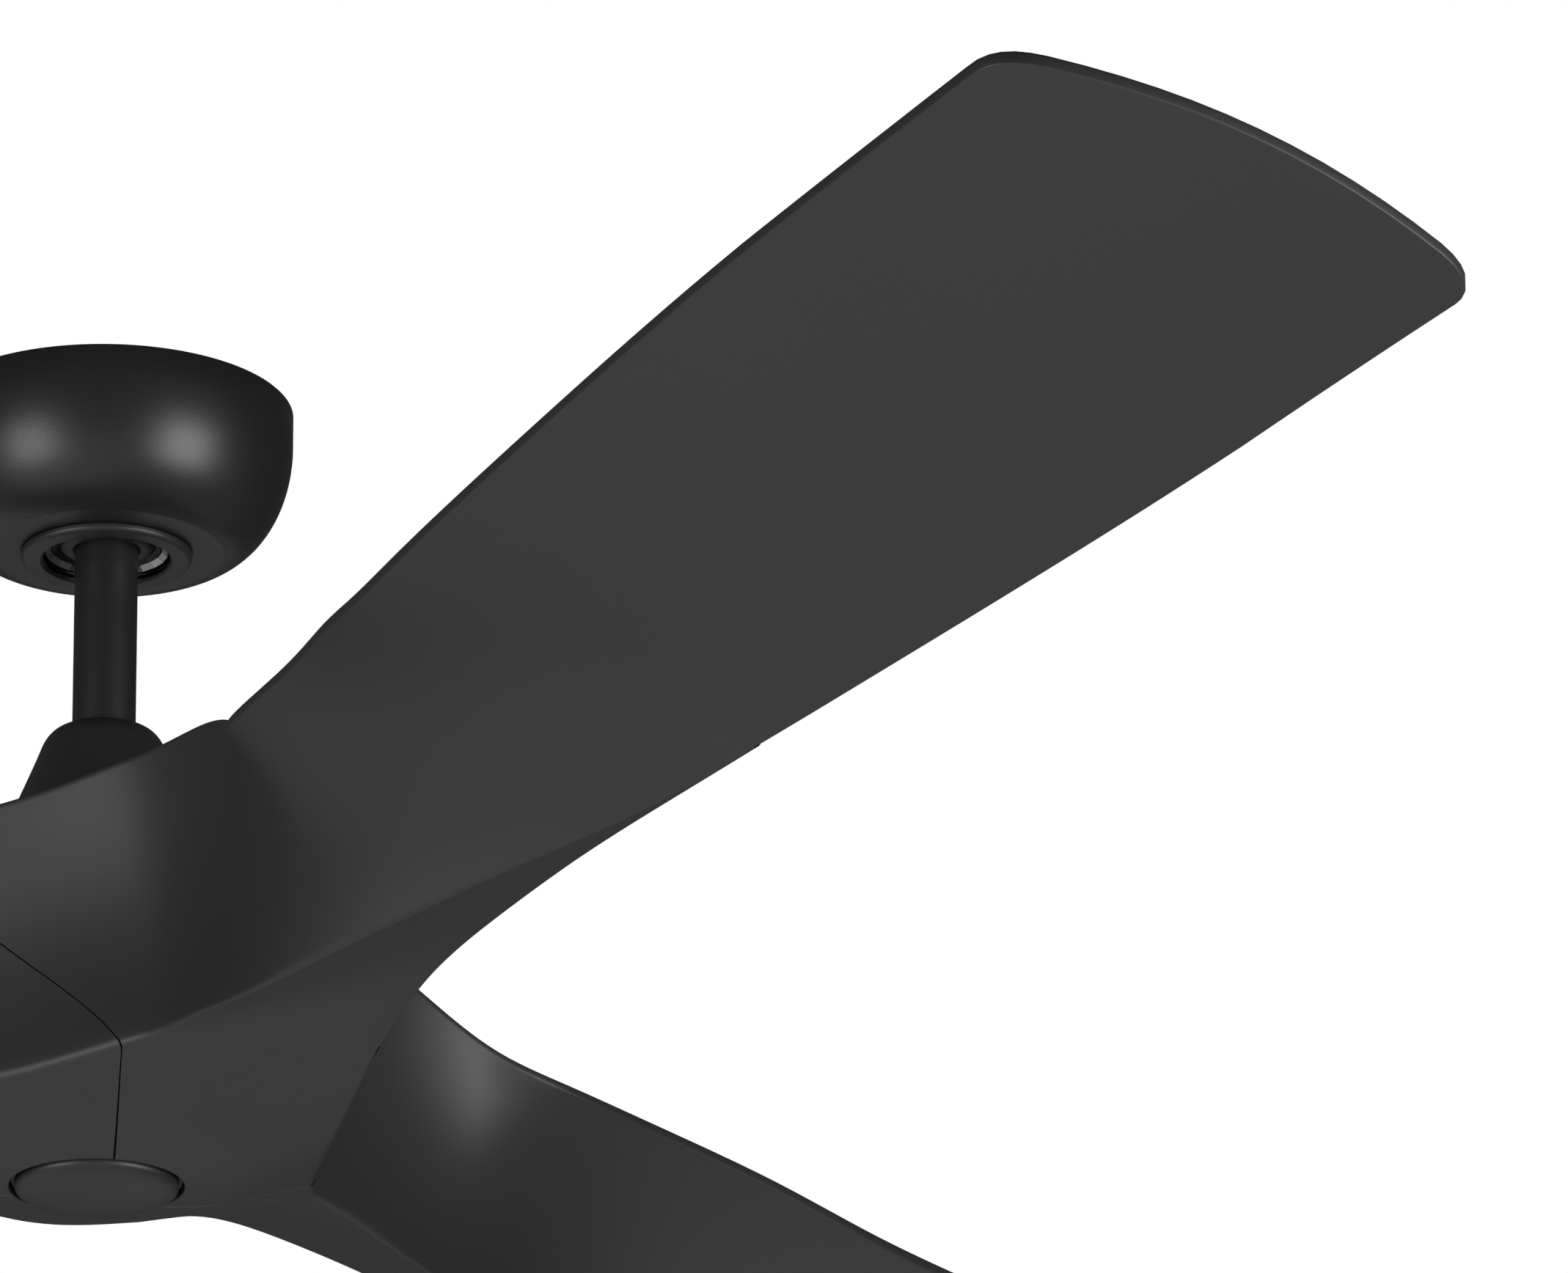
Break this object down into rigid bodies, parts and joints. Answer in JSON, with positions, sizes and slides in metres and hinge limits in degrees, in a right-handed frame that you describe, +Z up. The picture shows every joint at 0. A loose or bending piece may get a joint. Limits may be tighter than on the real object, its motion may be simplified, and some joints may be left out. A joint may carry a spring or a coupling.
{
  "type": "ceiling fan",
  "caption": "Matte black ceiling fan with sculpted blades that flow into one hub, short downrod, domed canopy and a plain bottom cap instead of a lamp.",
  "frame": {"origin": "middle of the hanger bracket's face that lies against the ceiling", "axes": "+Z up into the ceiling, along the downrod; blade_1 points along -Y"},
  "size_m": [1.4406, 1.2616, 0.2812],
  "materials": {
    "satin_black_plastic": "fine matte, satin sheen",
    "black_coated_steel": "satin powder coat",
    "zinc_steel": "bright zinc plate",
    "cast_aluminium": "as cast",
    "copper_winding": "enamelled wire",
    "black_nylon": "moulded",
    "ferrite": "ground"
  },
  "bodies": {
    "ceiling_side": {"hanger_bracket": "zinc_steel", "canopy": "black_coated_steel", "canopy_trim_ring": "satin_black_plastic", "canopy_screw_1": "zinc_steel", "canopy_screw_2": "zinc_steel", "receiver": "black_nylon"},
    "seat": {"ball_seat": "black_nylon"},
    "hanging": {"hanger_ball": "black_nylon", "ball_pin": "zinc_steel", "downrod": "black_coated_steel", "motor_cable": "black_nylon", "yoke": "cast_aluminium", "yoke_bolt_left": "zinc_steel", "yoke_bolt_right": "zinc_steel", "yoke_set_screw_upper": "zinc_steel", "yoke_set_screw_lower": "zinc_steel", "coupling_cover": "satin_black_plastic", "motor_shaft": "zinc_steel", "stator_core": "zinc_steel", "winding_upper": "copper_winding", "winding_lower": "copper_winding"},
    "rotor": {"motor_housing_top": "cast_aluminium", "motor_housing_bottom": "cast_aluminium", "bearing_upper": "zinc_steel", "bearing_lower": "zinc_steel", "magnet_ring": "ferrite", "hub_plate": "zinc_steel", "rotor_top_cover": "satin_black_plastic", "cap_base": "black_nylon", "bottom_cap": "satin_black_plastic", "blade_1": "satin_black_plastic", "blade_2": "satin_black_plastic", "blade_3": "satin_black_plastic", "blade_1_screw_1": "zinc_steel", "blade_1_screw_2": "zinc_steel", "blade_2_screw_1": "zinc_steel", "blade_2_screw_2": "zinc_steel", "blade_3_screw_1": "zinc_steel", "blade_3_screw_2": "zinc_steel", "hub_screw_1": "zinc_steel", "hub_screw_2": "zinc_steel", "hub_screw_3": "zinc_steel"}
  },
  "joints": [
    {"name": "swing_x", "type": "hinge", "parent": "ceiling_side", "child": "seat", "pos_m": [0, 0, -0.033], "axis": [1, 0, 0], "range_deg": [-10, 10]},
    {"name": "swing_y", "type": "hinge", "parent": "seat", "child": "hanging", "pos_m": [0, 0, -0.033], "axis": [0, 1, 0], "range_deg": [-10, 10]},
    {"name": "spin", "type": "hinge", "parent": "hanging", "child": "rotor", "pos_m": [0, 0, -0.24], "axis": [0, 0, 1], "continuous": true}
  ]
}
